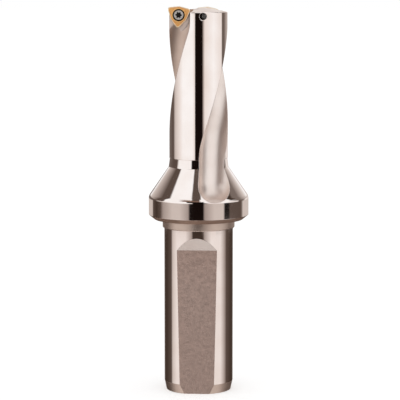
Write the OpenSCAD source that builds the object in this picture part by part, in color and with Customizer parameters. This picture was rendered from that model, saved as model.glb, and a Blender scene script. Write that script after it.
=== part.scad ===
// Indexable drill with two trigon inserts, standing on its shank with the cutting end up.
// The origin is the centre of the rear face and +Z runs along the axis to the cutting end.

/* [Shank] */
// Diameter that the holder clamps
shank_d = 25; // [24:0.5:26]
// Length of the shank below the shoulder ring
shank_len = 59.7; // [58.5:0.1:62]
// Lead-in chamfer at the rear, along the axis
lead_len = 3.4; // [1:0.1:4]
// Lead-in chamfer at the rear, across
lead_in = 0.75; // [0.3:0.05:1.2]

/* [Clamping flat] */
// Depth of the flat at its front end
flat_depth = 2.31; // [1.5:0.01:3]
// Slope of the flat, which gets shallower toward the rear
flat_slope = 0.75; // [0:0.05:1.2]
// Distance from the rear face to the front end of the flat
flat_end = 52.5; // [48:0.1:54]
// Length of the ramp from the flat's front end up to the round shank
flat_ramp_len = 4.6; // [3:0.1:5]
// Turn of the flat about the axis
flat_turn = -3.5; // [-10:0.5:10]

/* [Flange and neck] */
// Diameter of the shoulder ring under the flange
ring_d = 26.2; // [25.6:0.1:27]
// Height of the shoulder ring
ring_len = 3.1; // [2:0.1:5]
// Diameter of the flange
flange_d = 36.3; // [34:0.1:40]
// Height of the flange, up to where its side would meet the cone
flange_len = 8.4; // [7:0.1:9]
// Chamfer at the lower edge of the flange, along the axis
flange_chamfer = 1.65; // [0.5:0.05:2]
// Chamfer at the lower edge of the flange, across
flange_chamfer_in = 2.05; // [1:0.05:3]
// Radius of the rounded edge between the flange and the cone
flange_round = 2.7; // [1:0.1:3]
// Height of the cone above the flange
cone_len = 10.7; // [10:0.1:12]
// Diameter of the flared neck where it meets the cone
neck_low_d = 21.7; // [21:0.1:22.4]
// Diameter of the flared neck under the lands
neck_d = 20.9; // [20.2:0.1:21]
// Height of the neck
neck_len = 3.2; // [2:0.1:4]

/* [Fluted end] */
// Diameter over the lands
land_d = 21.2; // [21:0.1:21.6]
// Length of the lands from the neck to their front edge
land_len = 52.9; // [52.5:0.1:53.5]
// Rise of the conical end from its edge to the axis, before it is relieved behind the inserts
end_rise = 2.2; // [1.8:0.05:2.4]

/* [Flutes] */
// Lead of the helix, the length of one full turn
flute_lead = 196; // [180:2:230]
// Distance from the axis to the centre of the round flute section
flute_dist = 10.4; // [10.2:0.1:10.6]
// Radius of the flute section
flute_r = 6.6; // [6:0.1:6.7]
// Direction of the outer insert's flute at the cutting end
outer_flute_dir = 216.5; // [214:0.5:219]
// Direction of the inner insert's flute at the cutting end
inner_flute_dir = 26.5; // [24:0.5:29]
// Straight length of the flutes at the cutting end
flute_straight = 5.5; // [4:0.5:7]
// Height at which the flutes begin to run out of the body
runout_z = 95.3; // [94:0.1:97]
// Outward slope of the run-out
runout_slope = 0.33; // [0.3:0.01:0.36]
// Height of the centre of the round end of the run-out
runout_end_z = 77; // [76.6:0.1:78]

/* [Inserts] */
// Diameter over the outer insert's cutting corner
cutting_d = 22.4; // [22.2:0.1:22.6]
// Inscribed circle of the trigon insert
insert_ic = 6.35; // [6.3:0.01:6.4]
// Thickness of the insert
insert_t = 2.38; // [2.3:0.01:2.5]
// Nose radius of its three cutting corners
insert_nose = 0.8; // [0.6:0.1:0.9]
// Clearance angle of its sides
insert_flank = 7; // [5:1:8]
// Height of the outer insert's centre
outer_insert_z = 136.6; // [136.4:0.1:136.8]
// Height of the inner insert's centre
inner_insert_z = 136.5; // [136.3:0.1:136.7]
// Tilt that brings the outer insert's edge corner forward
outer_lead = 5; // [3:0.5:6]
// Tilt that brings the inner insert's axis corner forward
inner_lead = 4; // [3:0.5:6]
// Distance from the axis to the inner insert's centre
inner_insert_x = 3.2; // [3.1:0.1:3.3]
// Turn of the inner insert's seat about the axis
inner_seat_dir = -9; // [-11:0.5:-7]

/* [Screws] */
// Thread diameter of the insert screws
screw_d = 2.5; // [2.4:0.05:2.6]
// Length of the screws
screw_len = 6.4; // [6:0.1:7]
// Diameter of the screw head
head_d = 3.5; // [3.4:0.05:3.6]
// Depth of the head's top below the insert's face
head_sink = 0.55; // [0.45:0.05:0.65]
// Width of the six-lobe socket over its points
socket_d = 2.36; // [2.2:0.02:2.4]
// Depth of the socket
socket_depth = 0.9; // [0.7:0.05:1]

/* [Coolant] */
// Diameter of the bore in the shank
coolant_bore_d = 8; // [7:0.5:9]
// Depth of the full bore
coolant_bore_len = 62; // [58:0.5:64]
// Diameter of the two channels to the end face
channel_d = 1.8; // [1.6:0.1:2]

/* [Hidden] */
$fn = 96;

steel = "#cdbdb4";
coating = "#d8a55f";
bright_steel = "#c9c9c6";

// Cuts reach this far past the faces that they open
over = 0.01;

// Levels along the axis, from the rear face up
ring_z = shank_len;
flange_z = ring_z + ring_len;
cone_z = flange_z + flange_len;
neck_z = cone_z + cone_len;
land_z = neck_z + neck_len;
end_z = land_z + land_len;
above_all = end_z + 5;

// Radii and small edges
shank_r = shank_d / 2;
ring_r = ring_d / 2;
flange_r = flange_d / 2;
neck_r = neck_d / 2;
neck_low_r = neck_low_d / 2;
land_r = land_d / 2;
ring_edge = 0.25;
end_chamfer = 0.25;

// Rounded edge of the flange: a tangent arc between its side and the cone
cone_angle = atan((flange_r - neck_low_r) / cone_len);
round_tangent = flange_round * tan(cone_angle / 2);
round_steps = 6;

// The body is swept from a line on its round side, clear of the flat
outline_turn = 49;

// Trigon insert: six sides around one inscribed circle, in three corners of 80 degrees
corner_half = 40;
nose_sweep = 90 - corner_half;
nose_step = 12.5;
corner_dirs = [30, 150, 270];
side_half = 60 - nose_sweep;
nose_dist = (insert_ic / 2 - insert_nose) / sin(corner_half);
insert_half_w = nose_dist * cos(corner_dirs[0]) + insert_nose;
outer_insert_x = cutting_d / 2 - insert_half_w;
seat_gap = 0.02;

// Chip groove of the rake face: a narrow land, a groove and an island round the hole
groove_land = 0.3;
groove_depth = 0.22;
groove_taper = 0.94;
groove_nose = insert_nose - 0.15;
island_r = 2.72;

// Screw hole of the insert: a countersink that the screw head fills
sink_r = 2.2;
sink_depth = 1.3;
hole_r = 1.4;
sink_taper = (sink_r - hole_r) / sink_depth;

// Seats: how far they open in front and at the top, and their tapped holes
pocket_front = -1.5;
pocket_open_from = 1.4;
pocket_open_h = 6;
pocket_open_side = 0.25;
corner_relief_r = 0.9;
tap_r = screw_d / 2 + seat_gap;
tap_len = 15;
tap_edge = 0.12;

// Ground relief of the end face behind each insert's two leading edges
relief_angle = 4;
relief_gap = 0.05;
relief_reach = 14;
relief_front = 3;

// Milled space in front of each insert
gullet_back = 0.45;
gullet_r = 5.5;
gullet_side = 0.15;
gullet_z = end_z - 7.7;
gullet_reach = 16;

// Flutes: the twist sets in and eases off over these lengths
flute_turn = 360 / flute_lead;
twist_blend = 4;
twist_z = end_z - flute_straight + twist_blend / 2;
runout_turn = 0.87;
runout_turn_z = 90.6;
runout_blend = 6;
flute_step = 1.7;
flute_arc = 126;
flute_arc_step = 9;
round_end_steps = 7;
round_end_sweep = 84;

// Coolant channels behind the two inserts: a point in the bore and one past the end face
inner_channel = [[-0.9, -2.6, 60], [-0.3, -4.3, above_all]];
outer_channel = [[2.7, -0.3, 60], [-3.7, 6.5, above_all]];

// Zero before the start, then a slope that grows to 1 over the blend length
function eased(t, blend) = t <= 0 ? 0 : t < blend ? t * t / (2 * blend) : t - blend / 2;

// Direction of a flute's centre at height z
function flute_angle(dir, z) =
    dir - flute_turn * eased(twist_z - z, twist_blend)
    + (flute_turn - runout_turn) * eased(runout_turn_z - z, runout_blend);

// Distance of a flute's centre from the axis at height z
function flute_reach(z) = flute_dist + runout_slope * eased(runout_z - z, runout_blend);

// Radius of a flute at height z: whole down to the run-out's end, then a round end
function flute_radius(z) =
    z >= runout_end_z ? flute_r : sqrt(max(0, pow(flute_r, 2) - pow(runout_end_z - z, 2)));

// Heights of the rings that a flute is swept through, from the top down
flute_levels = concat(
    [above_all],
    [for (z = twist_z; z > runout_end_z; z = z - flute_step) z],
    [for (i = [0 : round_end_steps]) runout_end_z - flute_r * sin(i * round_end_sweep / round_end_steps)]);

// One ring of a flute: the arc that faces the axis, closed by its chord outside the body
function flute_ring(dir, z) = [
    for (a = [-flute_arc : flute_arc_step : flute_arc])
        let (turn = flute_angle(dir, z), reach = flute_reach(z), rad = flute_radius(z))
        [
            reach * cos(turn) - rad * cos(turn + a),
            reach * sin(turn) - rad * sin(turn + a),
            z
        ]];

// Outline of the trigon insert for an inscribed circle
function trigon(ic, nose) = [
    for (c = corner_dirs)
        each concat(
            [for (a = [-nose_sweep : nose_step : nose_sweep])
                let (far = (ic / 2 - nose) / sin(corner_half))
                [far * cos(c) + nose * cos(c + a), far * sin(c) + nose * sin(c + a)]],
            [ic / 2 / cos(side_half) * [cos(c + 60), sin(c + 60)]])];

// Inscribed circle of the insert at a depth under its face
function ic_at(depth) = insert_ic - 2 * depth * tan(insert_flank);

// A flute swept along its path, as one closed skin through all rings
module flute(dir) {
    rings = [for (z = flute_levels) flute_ring(dir, z)];
    n = len(rings[0]);
    last = len(rings) - 1;
    sides = [
        for (i = [0 : last - 1], j = [0 : n - 1])
            let (k = (j + 1) % n)
            each [
                [i * n + j, (i + 1) * n + k, (i + 1) * n + j],
                [i * n + j, i * n + k, (i + 1) * n + k]
            ]];
    top = [for (j = [n - 1 : -1 : 0]) j];
    bottom = [for (j = [0 : n - 1]) last * n + j];
    polyhedron(points = [for (ring = rings) each ring], faces = concat(sides, [top, bottom]));
}

// Places a seat or insert: X outward along the cutting edge, Y out of the rake face, Z up
module in_seat(dir, x, z, lead) {
    rotate([0, 0, dir])
        translate([x, 0, z])
            rotate([90, lead, 0])
                children();
}

module in_outer_seat() {
    in_seat(180, outer_insert_x, outer_insert_z, -outer_lead) children();
}

module in_inner_seat() {
    in_seat(inner_seat_dir, inner_insert_x, inner_insert_z, inner_lead) children();
}

// The insert's tapered block between two depths under its face, with a gap all round
module trigon_block(from, to, gap) {
    ic = ic_at(from) + 2 * gap;
    translate([0, 0, from])
        linear_extrude(height = to - from, scale = (ic_at(to) + 2 * gap) / ic)
            polygon(trigon(ic, insert_nose));
}

// What the seat removes: pocket, relief at its lower corner, open top and tapped hole
module seat_cut() {
    half_w = insert_half_w + pocket_open_side;
    trigon_block(pocket_front, insert_t, seat_gap);
    translate([0, -nose_dist, pocket_front])
        cylinder(r = corner_relief_r, h = insert_t - pocket_front);
    translate([-half_w, pocket_open_from, pocket_front])
        cube([2 * half_w, pocket_open_h, insert_t - pocket_front]);
    cylinder(r = tap_r, h = tap_len);
}

// Broken edge where the inner seat's tapped hole comes out square to the land
module tap_exit() {
    exit_depth = sqrt(pow(land_r, 2) - pow(inner_insert_x, 2));
    translate([0, 0, exit_depth - tap_edge])
        cylinder(r1 = tap_r, r2 = tap_r + 2 * tap_edge, h = 2 * tap_edge);
}

// Planes that the end face is ground to behind an insert, a little under its leading edges
module end_relief() {
    for (slope = [-side_half, side_half])
        rotate([0, 0, slope])
            translate([0, insert_ic / 2 - relief_gap, 0])
                rotate([relief_angle, 0, 0])
                    translate([-relief_reach, 0, -relief_front])
                        cube([2 * relief_reach, relief_reach, relief_reach + relief_front]);
}

// Milled clearance in front of an insert whose centre is at x: a slot with a round lower end
module gullet(dir, x) {
    inner_wall = x - insert_half_w - gullet_side;
    rotate([0, 0, dir])
        translate([0, -gullet_back, 0])
            rotate([90, 0, 180])
                linear_extrude(height = gullet_reach)
                    mirror([1, 0]) {
                        translate([inner_wall + gullet_r, gullet_z + gullet_r])
                            circle(r = gullet_r);
                        translate([inner_wall, gullet_z + gullet_r])
                            square([gullet_reach, above_all - gullet_z - gullet_r]);
                        translate([inner_wall + gullet_r, gullet_z])
                            square([gullet_reach - gullet_r, above_all - gullet_z]);
                    }
}

// A straight drilled channel between two points
module channel(from, to) {
    run = to - from;
    translate(from)
        rotate([0, acos(run.z / norm(run)), atan2(run.y, run.x)])
            cylinder(d = channel_d, h = norm(run));
}

// The inclined flat on the shank and the ramp at its front end, swept across the shank
module clamping_flat() {
    reach = shank_r - flat_depth;
    far = 20;
    rotate([0, 0, flat_turn - 90])
        rotate([90, 0, 0])
            translate([0, 0, -far])
                linear_extrude(height = 2 * far)
                    polygon([
                        [reach + (flat_end + far) * tan(flat_slope), -far],
                        [reach, flat_end],
                        [reach + 2 * flat_depth, flat_end + 2 * flat_ramp_len],
                        [reach + far, flat_end + 2 * flat_ramp_len],
                        [reach + far, -far]
                    ]);
}

// Outline that the body is turned to
module turned_body() {
    edge_arc = [
        for (i = [0 : round_steps])
            let (a = cone_angle * i / round_steps)
            [flange_r - flange_round * (1 - cos(a)), cone_z - round_tangent + flange_round * sin(a)]];
    rotate([0, 0, outline_turn])
        rotate_extrude()
            polygon(concat(
                [
                    [0, 0],
                    [shank_r - lead_in, 0],
                    [shank_r, lead_len],
                    [shank_r, ring_z],
                    [ring_r - ring_edge, ring_z],
                    [ring_r, ring_z + ring_edge],
                    [ring_r, flange_z],
                    [flange_r - flange_chamfer_in, flange_z],
                    [flange_r, flange_z + flange_chamfer]
                ],
                edge_arc,
                [
                    [neck_low_r, neck_z],
                    [neck_r, land_z],
                    [land_r, land_z],
                    [land_r, end_z - end_chamfer],
                    [land_r - end_chamfer, end_z],
                    [0, end_z + end_rise]
                ]));
}

// Coolant bore from the rear end, with a drilled point and a broken edge
module coolant_bore() {
    r = coolant_bore_d / 2;
    edge = 0.8;
    point_angle = 31;
    rotate_extrude()
        polygon([
            [0, -1],
            [r + edge + 1, -1],
            [r, edge],
            [r, coolant_bore_len],
            [0, coolant_bore_len + r * tan(point_angle)]
        ]);
}

module drill_body() {
    color(steel)
        difference() {
            turned_body();
            clamping_flat();
            coolant_bore();
            flute(outer_flute_dir);
            flute(inner_flute_dir);
            gullet(180, outer_insert_x);
            gullet(inner_seat_dir, inner_insert_x);
            in_outer_seat() seat_cut();
            in_inner_seat() seat_cut();
            in_inner_seat() tap_exit();
            in_outer_seat() end_relief();
            in_inner_seat() end_relief();
            channel(inner_channel[0], inner_channel[1]);
            channel(outer_channel[0], outer_channel[1]);
        }
}

// One insert, rake face at depth 0
module insert() {
    color(coating)
        difference() {
            trigon_block(0, insert_t, 0);
            difference() {
                translate([0, 0, -over])
                    linear_extrude(height = groove_depth + over, scale = groove_taper)
                        polygon(trigon(insert_ic - 2 * groove_land, groove_nose));
                cylinder(r = island_r, h = 2 * groove_depth);
            }
            translate([0, 0, -over])
                cylinder(r1 = sink_r + over * sink_taper, r2 = hole_r, h = sink_depth + over);
            cylinder(r = hole_r, h = insert_t + over);
        }
}

// Six-lobe socket outline
module six_lobe() {
    scallop_r = 0.36;
    scallop_out = 0.04;
    difference() {
        circle(d = socket_d);
        for (i = [0 : 5])
            rotate(60 * i + 30)
                translate([socket_d / 2 + scallop_out, 0])
                    circle(r = scallop_r);
    }
}

// One countersunk screw, in the depth frame of its insert
module insert_screw() {
    r = screw_d / 2;
    head_r = head_d / 2;
    fit = 0.015;
    cone_top = (sink_r - fit - head_r) / sink_taper;
    cone_end = (sink_r - fit - r) / sink_taper;
    head_edge = [0.12, 0.08];
    tip_edge = 0.3;
    tip = head_sink + screw_len;
    color(bright_steel)
        difference() {
            rotate_extrude()
                polygon([
                    [0, head_sink],
                    [head_r - head_edge.x, head_sink],
                    [head_r, head_sink + head_edge.y],
                    [head_r, cone_top],
                    [r, cone_end],
                    [r, tip - tip_edge],
                    [r - tip_edge, tip],
                    [0, tip]
                ]);
            translate([0, 0, head_sink - over])
                linear_extrude(height = socket_depth + over)
                    six_lobe();
        }
}

module outer_insert() {
    in_outer_seat() insert();
}

module inner_insert() {
    in_inner_seat() insert();
}

module outer_screw() {
    in_outer_seat() insert_screw();
}

module inner_screw() {
    in_inner_seat() insert_screw();
}

drill_body();
outer_insert();
inner_insert();
outer_screw();
inner_screw();
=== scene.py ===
# Indexable drill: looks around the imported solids, in metres, +Z up along the drill's axis.
import math

import bmesh
import bpy
import numpy as np
from mathutils import Matrix, Vector


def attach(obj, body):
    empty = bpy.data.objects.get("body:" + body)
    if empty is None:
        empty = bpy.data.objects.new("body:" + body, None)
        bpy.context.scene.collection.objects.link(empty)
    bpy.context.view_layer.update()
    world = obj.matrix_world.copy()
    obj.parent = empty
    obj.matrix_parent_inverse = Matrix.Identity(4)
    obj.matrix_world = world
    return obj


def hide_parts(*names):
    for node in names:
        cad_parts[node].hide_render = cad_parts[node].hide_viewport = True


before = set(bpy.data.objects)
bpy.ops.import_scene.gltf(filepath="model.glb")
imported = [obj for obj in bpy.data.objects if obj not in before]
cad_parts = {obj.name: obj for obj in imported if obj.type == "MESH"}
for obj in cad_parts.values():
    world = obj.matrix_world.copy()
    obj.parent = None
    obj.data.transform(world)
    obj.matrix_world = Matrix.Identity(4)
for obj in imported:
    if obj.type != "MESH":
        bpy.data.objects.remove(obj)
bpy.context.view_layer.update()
mm = 0.001
weldMm = 0.002      # points of a solid's mesh that are nearer than this are one
scene = bpy.context.scene
scene.view_settings.view_transform = "Standard"


def linear(hexColour):
    channels = [int(hexColour[i:i + 2], 16) / 255 for i in (1, 3, 5)]
    return [c / 12.92 if c <= 0.04045 else ((c + 0.055) / 1.055) ** 2.4 for c in channels] + [1.0]


# Adds a node, sets its fields, and links or fills its inputs
def addNode(tree, kind, inputs=None, **settings):
    node = tree.nodes.new(kind)
    for name, value in settings.items():
        setattr(node, name, value)
    for key, value in (inputs or {}).items():
        if isinstance(value, bpy.types.NodeSocket):
            tree.links.new(value, node.inputs[key])
        else:
            node.inputs[key].default_value = value
    return node


def newMaterial(name):
    material = bpy.data.materials.new(name)
    material.use_nodes = True
    material.node_tree.nodes.clear()
    return material, material.node_tree


def addObject(name, mesh):
    piece = bpy.data.objects.new(name, mesh)
    scene.collection.objects.link(piece)
    return piece


# What all finishes share: the part of the cloud noise in use, how far roughness varies over it,
# the detail of both noises, and samples for edges and creases
allFinishes = {
    "cloudFrom": 0.3, "cloudTo": 0.7, "smoother": 0.88, "rougher": 1.15,
    "cloudDetail": 3.0, "markDetail": 2.0, "edgeSamples": 6, "creaseSamples": 8,
}


# A metal finish: two close tints in soft clouds, fine tool marks stretched one way, broken edges,
# and painted shade: a dark tone where less light reaches into creases and holes
def metalFinish(name, finish):
    a = allFinishes
    material, tree = newMaterial(name)
    place = addNode(tree, "ShaderNodeTexCoord").outputs["Object"]
    marks = addNode(tree, "ShaderNodeMapping", {"Vector": place, "Scale": finish["stretch"]})
    fine = addNode(tree, "ShaderNodeTexNoise", {
        "Vector": marks.outputs[0], "Scale": 1 / (finish["markMm"] * mm), "Detail": a["markDetail"]})
    cloud = addNode(tree, "ShaderNodeTexNoise", {
        "Vector": place, "Scale": 1 / (finish["cloudMm"] * mm), "Detail": a["cloudDetail"]})
    spread = addNode(tree, "ShaderNodeMapRange", {
        "Value": cloud.outputs["Fac"], "From Min": a["cloudFrom"], "From Max": a["cloudTo"]})
    rough = addNode(tree, "ShaderNodeMapRange", {
        "Value": spread.outputs[0],
        "To Min": finish["roughness"] * a["smoother"], "To Max": finish["roughness"] * a["rougher"]})
    # Sockets 6 and 7 of a colour Mix are its two colours, and output 2 is the result
    tone = addNode(tree, "ShaderNodeMix", {
        "Factor": spread.outputs[0], 6: linear(finish["colour"]), 7: linear(finish["worn"])},
        data_type="RGBA").outputs[2]
    # Painted shade: the colour darkens towards the crease colour where ambient occlusion finds little light
    if finish["creaseMm"]:
        light = addNode(tree, "ShaderNodeAmbientOcclusion", {"Distance": finish["creaseMm"] * mm},
                        samples=a["creaseSamples"])
        reached = addNode(tree, "ShaderNodeMapRange", {
            "Value": light.outputs["AO"], "From Min": finish["creaseFrom"], "From Max": finish["creaseTo"]})
        tone = addNode(tree, "ShaderNodeMix", {
            "Factor": reached.outputs[0], 6: linear(finish["creaseShade"]), 7: tone}, data_type="RGBA").outputs[2]
    edge = addNode(tree, "ShaderNodeBevel", {"Radius": finish["edgeMm"] * mm}, samples=a["edgeSamples"])
    bump = addNode(tree, "ShaderNodeBump", {
        "Strength": 1.0, "Distance": finish["markDepthMm"] * mm,
        "Height": fine.outputs["Fac"], "Normal": edge.outputs[0]})
    shader = addNode(tree, "ShaderNodeBsdfPrincipled", {
        "Base Color": tone, "Metallic": finish["metallic"],
        "Roughness": rough.outputs[0], "Normal": bump.outputs[0]})
    addNode(tree, "ShaderNodeOutputMaterial", {"Surface": shader.outputs[0]})
    return material


# Nickel plate, polished on the turned faces: a warm mirror with faint turning marks.
# Tool marks are drawn coarser than real ones, so that they show
plate = {
    "colour": "#fbf4f1", "worn": "#f5ebe6", "metallic": 1.0, "roughness": 0.05, "edgeMm": 0.18, "cloudMm": 9,
    "markMm": 0.6, "markDepthMm": 0.001, "stretch": (0.02, 0.02, 1.0),
    "creaseMm": 0, "creaseFrom": 0.32, "creaseTo": 0.68, "creaseShade": "#2a1d17",
}
# The same plate on the inner insert's flute and on the end face: satin, marks along the drill
satin = {**plate, "colour": "#f2e7e1", "worn": "#eadcd4", "roughness": 0.36, "stretch": (1.0, 1.0, 0.05)}
# The outer insert's flute: the same satin plate, rougher, with its colour darker and browner as painted shade
shadedSatin = {**satin, "colour": "#e6d4c9", "worn": "#dac6b9", "roughness": 0.46}
# Ground flat on the shank: matte, grinding marks across
ground = {**plate, "colour": "#f4dbd0", "worn": "#eed5ca", "roughness": 0.5, "markDepthMm": 0.003,
          "cloudMm": 1.2, "stretch": (0.03, 0.03, 1.0)}
# Milled seats: satin, marks every way, with painted shade darkening their corners
milled = {**plate, "colour": "#f3e7e0", "worn": "#e9dad2", "metallic": 0.45, "roughness": 0.6,
          "stretch": (1.0, 1.0, 1.0), "creaseMm": 1.6}
# Tapped holes: bare cut steel, coloured dark inside as painted shade
tapped = {**milled, "colour": "#4a403a", "worn": "#3a312c", "metallic": 1.0}
# Turned ring, underside of the flange and rear chamfer: satin
turned = {**plate, "colour": "#e0cec3", "worn": "#d5c2b6", "roughness": 0.42, "markDepthMm": 0.003}
# Turned chamfer under the flange and step above the neck: satin, rougher, and darker as painted shade on
# these downward faces
chamfer = {**turned, "colour": "#b69c8d", "worn": "#a88e7f", "roughness": 0.6}
bodyFinishes = {
    "polished": metalFinish("polishedNickelPlate", plate),
    "satin": metalFinish("satinNickelPlate", satin),
    "shadedSatin": metalFinish("satinNickelPlateOuterFluteInPaintedShade", shadedSatin),
    "ground": metalFinish("groundSteelFlat", ground),
    "milled": metalFinish("milledSteelSeats", milled),
    "tapped": metalFinish("tappedSteelHolesInPaintedShade", tapped),
    "turned": metalFinish("turnedSteelSatin", turned),
    "chamfer": metalFinish("turnedSteelChamferPaintedShade", chamfer),
}
# Plain bright screw steel, and the same steel darkened as painted shade down in the socket, where hardly any
# light returns
bright = {**plate, "colour": "#f2efeb", "worn": "#dedad5", "metallic": 0.5, "roughness": 0.5, "edgeMm": 0.08,
          "cloudMm": 1.5, "stretch": (1.0, 1.0, 1.0)}
screwFinishes = {
    "bright": metalFinish("brightScrewSteel", bright),
    "socket": metalFinish("screwSteelInSocketPaintedShade", {**bright, "colour": "#3a332f", "worn": "#2a2421"}),
}
# Gold-coloured hard coating on sintered carbide: satin, fine grain, with a painted highlight paling the honed
# rim, dark painted shade down in the countersink, and a painted highlight paling the ground flanks
coating = {**plate, "colour": "#ffd08a", "worn": "#f2bb70", "metallic": 0.45, "roughness": 0.7,
           "edgeMm": 0.07, "cloudMm": 0.5, "markMm": 0.12, "markDepthMm": 0.003, "stretch": (1.0, 1.0, 1.0)}
flank = {**coating, "colour": "#f6e8d4", "worn": "#eddcc4", "metallic": 1.0, "roughness": 0.4}
insertFinishes = {
    "face": metalFinish("goldCoatedCarbide", coating),
    "rim": metalFinish("goldCoatedCarbideRimPaintedHighlight", {**coating, "colour": "#fff1d6", "worn": "#ffe4bb"}),
    "sink": metalFinish("coatedCarbideInCountersinkPaintedShade", {**coating, "colour": "#2a1a12", "worn": "#1e120c"}),
    "flank": metalFinish("coatedCarbideFlankPaintedHighlight", flank),
}


# Puts a set of finishes on a mesh and returns the slot of each
def takeFinishes(mesh, finishes):
    for finish in finishes.values():
        mesh.materials.append(finish)
    return {name: i for i, name in enumerate(finishes)}


print("materials made")

# Body: the turned outline and the flutes' rule, in mm and degrees, as the solid has them
drillBody = {
    "profile": [(0, 0), (11.75, 0), (12.5, 3.4), (12.5, 59.7), (12.85, 59.7), (13.1, 59.95), (13.1, 62.8),
                (16.1, 62.8), (18.15, 64.45), (18.15, 71.2), (10.85, 81.9), (10.45, 85.1), (10.6, 85.1),
                (10.6, 137.75), (10.35, 138), (0, 140.2)],
    # Stretches of the profile, by their first point, that aren't polished
    "finishes": {1: "turned", 4: "turned", 5: "turned", 6: "turned",
                 7: "chamfer", 11: "chamfer", 14: "satin"},
    "roundCorner": 9, "roundRadius": 2.7,          # the flange's rounded upper edge
    # The outer flute's finish is the satin plate darkened as painted shade
    "flutes": {"shadedSatin": 216.5, "satin": 26.5},    # finish and direction of each flute
    "fluteRadius": 6.6, "leastRadius": 0.01, "reach": 10.4,
    "turn": 360 / 196, "twistStart": 134.5, "twistBlend": 4.0,
    "runoutTurn": 0.87, "runoutTurnZ": 90.6, "runoutBlend": 6.0,
    "runoutZ": 95.3, "runoutSlope": 0.33, "runoutEndZ": 77.0,
    "flatDirection": -93.5, "flatReach": 9, "flatTop": 60,
    # How far a face may lie off the surface that it stands for, past its ends, and turned away from it
    "near": 0.08, "pastEnd": 0.05, "pastRound": 0.004,
    "facing": {"flute": 0.9, "round": 0.5, "turned": 0.97, "flat": 0.999},
    "smoothDeg": 28, "slopeStep": 0.01,
}


# A ramp of slope 1 from 0 on, with a soft start
def eased(t, blend):
    return np.where(t <= 0, 0, np.where(t < blend, t * t / (2 * blend), t - blend / 2))


# Distance of points from a flute's wall, positive inside the steel
def fluteWall(direction, p):
    b, z = drillBody, p[:, 2]
    turn = np.radians(direction - b["turn"] * eased(b["twistStart"] - z, b["twistBlend"])
                      + (b["turn"] - b["runoutTurn"]) * eased(b["runoutTurnZ"] - z, b["runoutBlend"]))
    reach = b["reach"] + b["runoutSlope"] * eased(b["runoutZ"] - z, b["runoutBlend"])
    past = np.maximum(b["runoutEndZ"] - z, 0)
    radius = np.sqrt(np.maximum(b["fluteRadius"] ** 2 - past ** 2, b["leastRadius"] ** 2))
    return np.hypot(p[:, 0] - reach * np.cos(turn), p[:, 1] - reach * np.sin(turn)) - radius


# Direction out of the steel on a flute's wall
def fluteNormal(direction, p):
    steps = np.eye(3) * drillBody["slopeStep"]
    slope = np.stack([fluteWall(direction, p + d) - fluteWall(direction, p - d) for d in steps], 1)
    return -slope / np.linalg.norm(slope, axis=1, keepdims=True)


# A copy of a solid's mesh, with its loose triangles merged and its sharp edges marked
def weldedMesh(node, name, smoothDeg):
    work = bmesh.new()
    work.from_mesh(node.data)
    bmesh.ops.remove_doubles(work, verts=work.verts, dist=weldMm * mm)
    mesh = bpy.data.meshes.new(name)
    work.to_mesh(mesh)
    work.free()
    if "custom_normal" in mesh.attributes:
        mesh.attributes.remove(mesh.attributes["custom_normal"])
    mesh.materials.clear()
    mesh.shade_smooth()
    mesh.set_sharp_from_angle(angle=math.radians(smoothDeg))
    return mesh


# One field of all items, as an array
def read(items, field, width, kind=float):
    values = np.empty(len(items) * width, kind)
    items.foreach_get(field, values)
    return values.reshape(-1, width) if width > 1 else values


# Normals of a turned face from its radial and upward parts
def turnedNormals(points, out, up):
    turn = np.arctan2(points[:, 1], points[:, 0])
    return np.stack([out * np.cos(turn), out * np.sin(turn), up + 0 * turn], 1)


# Seats of the inserts: turn about the axis, distance from it, height and tilt, as the solids have them
seats = {
    "outer": {"turn": 180, "x": 7.2, "z": 136.6, "lead": -5},
    "inner": {"turn": -9, "x": 3.2, "z": 136.5, "lead": 4},
}
insertForm = {
    "islandRadius": 2.75, "sinkRadius": 2.21, "face": 0.02, "flankFrom": 0.3, "thick": 2.38, "smoothDeg": 30,
}
# Screw by depth under its insert's rake face: socket, where the plain head ends, core and thread
screwForm = {
    "socketFrom": 0.57, "socketRadius": 1.2, "plainTo": 1.53, "smoothDeg": 30, "weld": 0.001,
    "core": [(1.25, 1.5), (1.25, 1.8), (1.0, 2.0), (1.0, 6.7), (0.85, 6.95), (0, 6.95)],
    "thread": {"Radius": 1.066, "Ridge": 0.177, "Turn": 0.0, "Pitch": 0.45, "Length": 4.5}, "threadFrom": 2.1,
}
# Thread in the open end of the inner seat's tapped hole, past the screw's tip, and the wall of both holes
tappedForm = {"thread": {"Radius": 1.207, "Ridge": 0.157, "Turn": math.pi, "Pitch": 0.45, "Length": 2.2},
              "threadFrom": 7.2, "wall": 1.29}


# From a seat's frame, whose Z is the depth under the rake face, to the drill's, in mm
def seatFrame(seat):
    return (Matrix.Rotation(math.radians(seat["turn"]), 4, "Z")
            @ Matrix.Translation((seat["x"], 0, seat["z"]))
            @ Matrix.Rotation(math.radians(seat["lead"]), 4, "Y")
            @ Matrix.Rotation(math.radians(90), 4, "X"))


def inSeat(points, seat):
    back = np.array(seatFrame(seat).inverted())
    return points @ back[:3, :3].T + back[:3, 3]


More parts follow.
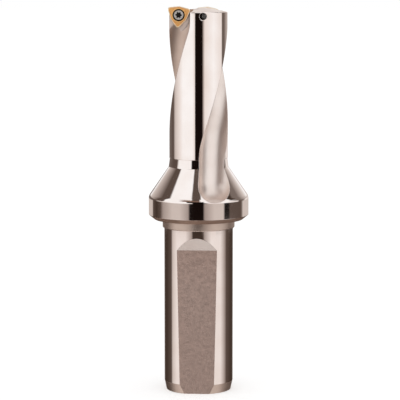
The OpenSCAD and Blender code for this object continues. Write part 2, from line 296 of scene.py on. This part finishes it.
# Gives each face its finish, and turned and fluted faces the normals of their true surface
def finishBody(mesh):
    b = drillBody
    slotOf = takeFinishes(mesh, bodyFinishes)
    points = read(mesh.vertices, "co", 3) / mm
    corner = read(mesh.loops, "vertex_index", 1, np.int32)
    count = read(mesh.polygons, "loop_total", 1, np.int32)
    faceOf = np.repeat(np.arange(len(count)), count)
    centre = read(mesh.polygons, "center", 3) / mm
    facing = read(mesh.polygons, "normal", 3)
    normals = read(mesh.corner_normals, "vector", 3)
    at = points[corner]
    slot = np.full(len(count), slotOf["milled"])
    free = np.ones(len(count), bool)        # faces whose surface isn't known yet
    radius = np.hypot(centre[:, 0], centre[:, 1])
    onAxis = 1e-6                           # keeps the division off zero
    outward = (centre[:, 0] * facing[:, 0] + centre[:, 1] * facing[:, 1]) / np.maximum(radius, onAxis)

    for finish, direction in b["flutes"].items():
        on = free & (np.abs(fluteWall(direction, centre)) < b["near"])
        on &= np.einsum("ij,ij->i", fluteNormal(direction, centre), facing) > b["facing"]["flute"]
        slot[on] = slotOf[finish]
        free &= ~on
        normals[on[faceOf]] = fluteNormal(direction, at[on[faceOf]])

    outline = np.array(b["profile"])
    edge, above = outline[b["roundCorner"]], outline[b["roundCorner"] + 1]
    slope = math.atan2(edge[0] - above[0], above[1] - edge[1])
    hub = edge - (b["roundRadius"], b["roundRadius"] * math.tan(slope / 2))
    tilt = np.arctan2(centre[:, 2] - hub[1], radius - hub[0])
    on = free & (np.abs(np.hypot(radius - hub[0], centre[:, 2] - hub[1]) - b["roundRadius"]) < b["near"])
    on &= (tilt > b["pastRound"]) & (tilt < slope - b["pastRound"]) & (outward > b["facing"]["round"])
    slot[on] = slotOf["polished"]
    free &= ~on
    p = at[on[faceOf]]
    tilt = np.arctan2(p[:, 2] - hub[1], np.hypot(p[:, 0], p[:, 1]) - hub[0])
    normals[on[faceOf]] = turnedNormals(p, np.cos(tilt), np.sin(tilt))

    for i, ((r0, z0), (r1, z1)) in enumerate(zip(outline, outline[1:])):
        length = math.hypot(r1 - r0, z1 - z0)
        out, up = (z1 - z0) / length, (r0 - r1) / length
        off = (radius - r0) * out + (centre[:, 2] - z0) * up
        along = ((radius - r0) * (r1 - r0) + (centre[:, 2] - z0) * (z1 - z0)) / length
        on = free & (np.abs(off) < b["near"]) & (along > -b["pastEnd"]) & (along < length + b["pastEnd"])
        on &= outward * out + facing[:, 2] * up > b["facing"]["turned"]
        slot[on] = slotOf[b["finishes"].get(i, "polished")]
        free &= ~on
        normals[on[faceOf]] = turnedNormals(at[on[faceOf]], out, up)

    # Faces deep in the seats' tapped holes take the tapped finish, darkened as painted shade
    for seat in seats.values():
        spot = inSeat(centre, seat)
        inHole = np.hypot(spot[:, 0], spot[:, 1]) < tappedForm["wall"]
        slot[free & inHole & (spot[:, 2] > insertForm["thick"] + b["near"])] = slotOf["tapped"]

    turn = math.radians(b["flatDirection"])
    way = np.array([math.cos(turn), math.sin(turn), 0])
    on = free & (centre @ way > b["flatReach"]) & (centre[:, 2] < b["flatTop"])
    slot[on & (facing @ way > b["facing"]["flat"])] = slotOf["ground"]
    mesh.polygons.foreach_set("material_index", slot.astype(np.int32))
    mesh.normals_split_custom_set(normals)
    mesh.update()


bodyMesh = weldedMesh(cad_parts["drill_body"], "drillBodyMesh", drillBody["smoothDeg"])
finishBody(bodyMesh)
body = addObject("platedBody", bodyMesh)
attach(body, "root")
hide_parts("drill_body")
print("body finished,", len(bodyMesh.polygons), "faces")

# Node tree for a thread: a three-sided ridge swept along a helix about Z
threadForm = {"pointsPerTurn": 32, "ridgeSides": 3}
threadNodes = bpy.data.node_groups.new("threadRidge", "GeometryNodeTree")
threadInputs = {}
for name in ("Radius", "Ridge", "Turn", "Pitch", "Length"):
    threadInputs[name] = threadNodes.interface.new_socket(
        name, in_out="INPUT", socket_type="NodeSocketFloat").identifier
threadInputs["Finish"] = threadNodes.interface.new_socket(
    "Finish", in_out="INPUT", socket_type="NodeSocketMaterial").identifier
threadNodes.interface.new_socket("Geometry", in_out="OUTPUT", socket_type="NodeSocketGeometry")
given = addNode(threadNodes, "NodeGroupInput").outputs
turns = addNode(threadNodes, "ShaderNodeMath", {0: given["Length"], 1: given["Pitch"]}, operation="DIVIDE")
helix = addNode(threadNodes, "GeometryNodeCurveSpiral", {
    "Resolution": threadForm["pointsPerTurn"], "Rotations": turns.outputs[0], "Height": given["Length"],
    "Start Radius": given["Radius"], "End Radius": given["Radius"]})
upright = addNode(threadNodes, "GeometryNodeSetCurveNormal", {"Curve": helix.outputs[0]}, mode="Z_UP")
section = addNode(threadNodes, "GeometryNodeCurvePrimitiveCircle", {
    "Resolution": threadForm["ridgeSides"], "Radius": given["Ridge"]})
about = addNode(threadNodes, "ShaderNodeCombineXYZ", {"Z": given["Turn"]})
section = addNode(threadNodes, "GeometryNodeTransform", {
    "Geometry": section.outputs[0], "Rotation": about.outputs[0]})
ridge = addNode(threadNodes, "GeometryNodeCurveToMesh", {
    "Curve": upright.outputs[0], "Profile Curve": section.outputs[0], "Fill Caps": True})
whole = addNode(threadNodes, "GeometryNodeRealizeInstances", {"Geometry": ridge.outputs[0]})
painted = addNode(threadNodes, "GeometryNodeSetMaterial", {
    "Geometry": whole.outputs[0], "Material": given["Finish"]})
addNode(threadNodes, "NodeGroupOutput", {"Geometry": painted.outputs[0]})


# One thread as a plain mesh, in mm, from a depth in its seat's frame
def threadMesh(form, finish, name):
    host = addObject(name + "Host", bpy.data.meshes.new(name + "HostMesh"))
    sweep = host.modifiers.new("thread", "NODES")
    sweep.node_group = threadNodes
    for key, value in form["thread"].items():
        sweep[threadInputs[key]] = value
    sweep[threadInputs["Finish"]] = finish
    made = bpy.data.meshes.new_from_object(host.evaluated_get(bpy.context.evaluated_depsgraph_get()))
    bpy.data.objects.remove(host)
    made.name = name
    made.transform(Matrix.Translation((0, 0, form["threadFrom"])))
    return made


# A round shell turned from pairs of radius and depth
def turnedShell(steps, name, sides=48):
    turns = np.arange(sides) * 2 * math.pi / sides
    points = [(r * math.cos(a), r * math.sin(a), depth) for r, depth in steps for a in turns]
    corners = [(i * sides, j, (j + 1) % sides) for i in range(len(steps) - 1) for j in range(sides)]
    mesh = bpy.data.meshes.new(name)
    mesh.from_pydata(points, [], [(i + j, i + k, i + sides + k, i + sides + j) for i, j, k in corners])
    return mesh


for side, seat in seats.items():
    mesh = weldedMesh(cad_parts[side + "_insert"], side + "InsertMesh", insertForm["smoothDeg"])
    slotOf = takeFinishes(mesh, insertFinishes)
    spot = inSeat(read(mesh.polygons, "center", 3) / mm, seat)
    away, depth = np.hypot(spot[:, 0], spot[:, 1]), spot[:, 2]
    slot = np.full(len(spot), slotOf["face"], np.int32)
    # The rim and the flanks get painted highlights, the countersink painted shade
    slot[(depth < insertForm["face"]) & (away > insertForm["islandRadius"])] = slotOf["rim"]
    slot[(depth > insertForm["face"]) & (away < insertForm["sinkRadius"])] = slotOf["sink"]
    slot[(depth > insertForm["flankFrom"]) & (away > insertForm["islandRadius"])] = slotOf["flank"]
    mesh.polygons.foreach_set("material_index", slot)
    piece = addObject(side + "Insert", mesh)
    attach(piece, "root")
    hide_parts(side + "_insert")

    # The head is the solid's own; its plain shank gives way to a core with a thread
    place = Matrix.Scale(mm, 4) @ seatFrame(seat)
    mesh = bpy.data.meshes.new(side + "ScrewMesh")
    slotOf = takeFinishes(mesh, screwFinishes)
    work = bmesh.new()
    work.from_mesh(weldedMesh(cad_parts[side + "_screw"], side + "ScrewHead", screwForm["smoothDeg"]))
    bmesh.ops.transform(work, matrix=place.inverted(), verts=work.verts)
    shank = [f for f in work.faces if f.calc_center_median().z > screwForm["plainTo"]]
    bmesh.ops.delete(work, geom=shank, context="FACES")
    work.from_mesh(turnedShell(screwForm["core"], side + "ScrewCore"))
    work.from_mesh(threadMesh(screwForm, screwFinishes["bright"], side + "ScrewThread"))
    bmesh.ops.remove_doubles(work, verts=work.verts, dist=screwForm["weld"])
    bmesh.ops.recalc_face_normals(work, faces=work.faces)
    for face in work.faces:
        spot = face.calc_center_median()
        # Faces down in the socket take its painted shade
        inSocket = screwForm["socketFrom"] < spot.z < screwForm["plainTo"]
        inSocket = inSocket and spot.xy.length < screwForm["socketRadius"]
        face.material_index = slotOf["socket"] if inSocket else slotOf["bright"]
        face.smooth = True
    bmesh.ops.transform(work, matrix=place, verts=work.verts)
    work.to_mesh(mesh)
    work.free()
    mesh.set_sharp_from_angle(angle=math.radians(screwForm["smoothDeg"]))
    piece = addObject(side + "Screw", mesh)
    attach(piece, "root")
    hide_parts(side + "_screw")
# The tapped hole's thread takes the same painted shade
thread = threadMesh(tappedForm, bodyFinishes["tapped"], "tappedThreadMesh")
thread.transform(Matrix.Scale(mm, 4) @ seatFrame(seats["inner"]))
tappedThread = addObject("tappedThread", thread)
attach(tappedThread, "root")
print("inserts, screws and threads placed")

# Studio: white surroundings and floor, and painted cards that only reflections show.
# Radii and heights are in mm; stops are azimuths from the camera, right positive, each with its paint
studio = {
    "floorHalfM": 4.0, "floorColour": "#f4f4f4", "floorLift": 0.35, "fill": 0.8,
    "wallRadius": 600, "stepDeg": 6,
    "paints": {"white": "#ffffff", "paper": "#efe8e4", "sand": "#cfc5bf", "clay": "#a69a94",
               "stone": "#7b706a", "bark": "#5a4d46", "umber": "#42362f", "soot": "#140d0b",
               "copper": "#7d6355"},
    # Bands of the round wall, by lower and upper height, named for what mirrors them in front.
    # Mirror faces show the lowest only from above, but rough ones take some light from it.
    # The paint blends from each band to the next
    "wall": {
        "underneath": (-1600, -620, [
            (-180, "sand"), (-150, "clay"), (-110, "clay"), (-90, "paper"), (-40, "paper"), (-22, "clay"),
            (-14, "stone"), (12, "stone"), (20, "clay"), (42, "paper"), (80, "paper"), (100, "clay"),
            (150, "clay"), (180, "sand")]),
        "shank": (-500, -24, [
            (-180, "clay"), (-150, "umber"), (-132, "umber"), (-104, "bark"), (-97, "sand"), (-78, "paper"),
            (-44, "paper"), (-23, "clay"), (-19, "umber"), (15, "umber"), (19, "clay"), (42, "paper"),
            (78, "paper"), (97, "clay"), (106, "bark"), (138, "umber"), (150, "umber"), (180, "clay")]),
        "flange": (-18, 2, [
            (-180, "sand"), (-133, "sand"), (-128, "bark"), (-112, "umber"), (-97, "bark"), (-88, "clay"),
            (-62, "sand"), (-44, "sand"), (-24, "clay"), (-20, "soot"), (10, "soot"), (14, "clay"),
            (36, "sand"), (58, "sand"), (62, "soot"), (72, "soot"), (77, "bark"), (112, "bark"),
            (117, "stone"), (123, "sand"), (180, "sand")]),
        "lands": (20, 84, [
            (-180, "sand"), (-165, "stone"), (-116, "bark"), (-104, "sand"), (-80, "paper"), (-64, "white"),
            (-24, "white"), (-15, "paper"), (-13, "soot"), (14, "soot"), (18, "clay"), (24, "paper"),
            (60, "white"), (100, "paper"), (106, "bark"), (124, "stone"), (136, "paper"), (180, "sand")]),
        "seats": (96, 120, [
            (-180, "sand"), (-165, "stone"), (-116, "bark"), (-92, "bark"), (-88, "paper"), (-64, "white"),
            (-24, "white"), (-15, "paper"), (-13, "soot"), (14, "soot"), (18, "clay"), (24, "paper"),
            (60, "white"), (100, "paper"), (106, "bark"), (122, "stone"), (132, "clay"), (160, "sand"),
            (180, "sand")]),
        "neck": (130, 290, [
            (-180, "white"), (-158, "white"), (-146, "sand"), (-128, "clay"), (-110, "bark"), (-89, "bark"),
            (-84, "white"), (-29, "white"), (-26, "soot"), (10, "soot"), (14, "white"), (72, "white"),
            (100, "stone"), (112, "stone"), (140, "sand"), (156, "white"), (180, "white")]),
        "cone": (310, 700, [
            (-180, "white"), (-158, "white"), (-146, "sand"), (-128, "clay"), (-110, "bark"), (-91, "bark"),
            (-86, "white"), (78, "white"), (84, "umber"), (98, "umber"), (104, "stone"), (118, "stone"),
            (140, "sand"), (156, "white"), (180, "white")]),
    },
    # Single cards between two circles of radius and height: for the run-out of the inner insert's flute,
    # for the cone's dark band, and overhead for the round end of the run-out
    "cards": {
        "runoutCard": ((580, 290), (580, 500), [
            (-50, "white"), (-36, "copper"), (0, "copper"), (7, "white")]),
        "runoutFadeCard": ((580, 500), (580, 620), [
            (-56, "white"), (-38, "clay"), (-10, "clay"), (8, "white")]),
        "runoutEndCard": ((580, 620), (580, 800), [
            (-62, "white"), (-40, "sand"), (-14, "sand"), (8, "white")]),
        "bandCard": ((575, 500), (575, 1020), [(-22, "white"), (-18, "bark"), (1, "bark"), (5, "white")]),
        "bandTopCard": ((600, 1030), (600, 1240), [
            (-26, "white"), (-22, "bark"), (6, "bark"), (10, "white")]),
        "leftCeilingCard": ((600, 1270), (150, 1270), [
            (-110, "white"), (-84, "clay"), (-16, "clay"), (10, "white")]),
        "backCard": ((600, 780), (600, 1270), [(105, "white"), (130, "clay"), (230, "clay"), (255, "white")]),
        "backCeilingCard": ((600, 1270), (10, 1270), [
            (105, "white"), (130, "clay"), (230, "clay"), (255, "white")]),
    },
}

world = bpy.data.worlds.new("whiteStudio")
scene.world = world
world.use_nodes = True
tree = world.node_tree
tree.nodes.clear()
ray = addNode(tree, "ShaderNodeLightPath")
shown = addNode(tree, "ShaderNodeMath", {0: ray.outputs["Is Camera Ray"], 1: ray.outputs["Is Glossy Ray"]},
                operation="MAXIMUM")
shown = addNode(tree, "ShaderNodeMath", {0: shown.outputs[0], 1: ray.outputs["Is Transmission Ray"]},
                operation="MAXIMUM")
strength = addNode(tree, "ShaderNodeMapRange", {
    "Value": shown.outputs[0], "To Min": studio["fill"], "To Max": 1.0})
glow = addNode(tree, "ShaderNodeBackground", {"Color": linear("#ffffff"), "Strength": strength.outputs[0]})
addNode(tree, "ShaderNodeOutputWorld", {"Surface": glow.outputs[0]})

floorPaint, tree = newMaterial("whiteFloor")
ray = addNode(tree, "ShaderNodeLightPath")
paint = addNode(tree, "ShaderNodeBsdfDiffuse", {"Color": linear(studio["floorColour"])})
lift = addNode(tree, "ShaderNodeMath", {0: ray.outputs["Is Camera Ray"], 1: studio["floorLift"]},
               operation="MULTIPLY")
glow = addNode(tree, "ShaderNodeEmission", {"Strength": lift.outputs[0]})
both = addNode(tree, "ShaderNodeAddShader", {0: paint.outputs[0], 1: glow.outputs[0]})
addNode(tree, "ShaderNodeOutputMaterial", {"Surface": both.outputs[0]})
half = studio["floorHalfM"]
floorMesh = bpy.data.meshes.new("floorMesh")
floorMesh.from_pydata([(x, y, 0) for x, y in ((-half, -half), (half, -half), (half, half), (-half, half))],
                      [], [(0, 1, 2, 3)])
floorMesh.materials.append(floorPaint)
floor = addObject("floor", floorMesh)
floor.visible_glossy = False        # the shank mirrors the cards and not the floor

cardPaint, tree = newMaterial("paintedCards")
glow = addNode(tree, "ShaderNodeEmission", {
    "Color": addNode(tree, "ShaderNodeVertexColor", layer_name="paint").outputs["Color"]})
addNode(tree, "ShaderNodeOutputMaterial", {"Surface": glow.outputs[0]})


# A painted strip through circles of radius, height and stops, which only reflections show
def addCard(name, circles):
    marks = {way for circle in circles for way, paint in circle[2]}
    ways = sorted(marks | set(range(min(marks), max(marks), studio["stepDeg"])))
    turns = np.radians(np.array(ways) - 90)
    points, colours = [], []
    for radius, height, stops in circles:
        points += [(radius * math.cos(t) * mm, radius * math.sin(t) * mm, height * mm) for t in turns]
        paints = np.array([linear(studio["paints"][paint]) for way, paint in stops])
        at = [way for way, paint in stops]
        colours.append(np.stack([np.interp(ways, at, shade) for shade in paints.T], 1))
    count = len(ways)
    corners = [row * count + i for row in range(len(circles) - 1) for i in range(count - 1)]
    mesh = bpy.data.meshes.new(name + "Mesh")
    mesh.from_pydata(points, [], [(i, i + 1, i + count + 1, i + count) for i in corners])
    layer = mesh.color_attributes.new("paint", "FLOAT_COLOR", "POINT")
    layer.data.foreach_set("color", np.concatenate(colours).astype(np.float32).ravel())
    mesh.materials.append(cardPaint)
    card = addObject(name, mesh)
    card.visible_camera = card.visible_diffuse = card.visible_shadow = False


bands = studio["wall"].values()
addCard("paintedWall", [(studio["wallRadius"], h, stops) for low, high, stops in bands for h in (low, high)])
for cardName, (lower, upper, stops) in studio["cards"].items():
    addCard(cardName, [(*lower, stops), (*upper, stops)])
print("studio set")

# Camera at the photograph's angle, in mm
camera = {"place": (0.5, -760.0, 165.35), "aim": (0.5, 0.0, 69.55), "lens": 189.5, "sensor": 36}
lens = bpy.data.cameras.new("camera")
lens.lens = camera["lens"]
lens.sensor_width = camera["sensor"]
eye = bpy.data.objects.new("camera", lens)
eye.location = Vector(camera["place"]) * mm
eye.rotation_euler = (Vector(camera["aim"]) - Vector(camera["place"])).to_track_quat("-Z", "Y").to_euler()
scene.collection.objects.link(eye)
scene.camera = eye
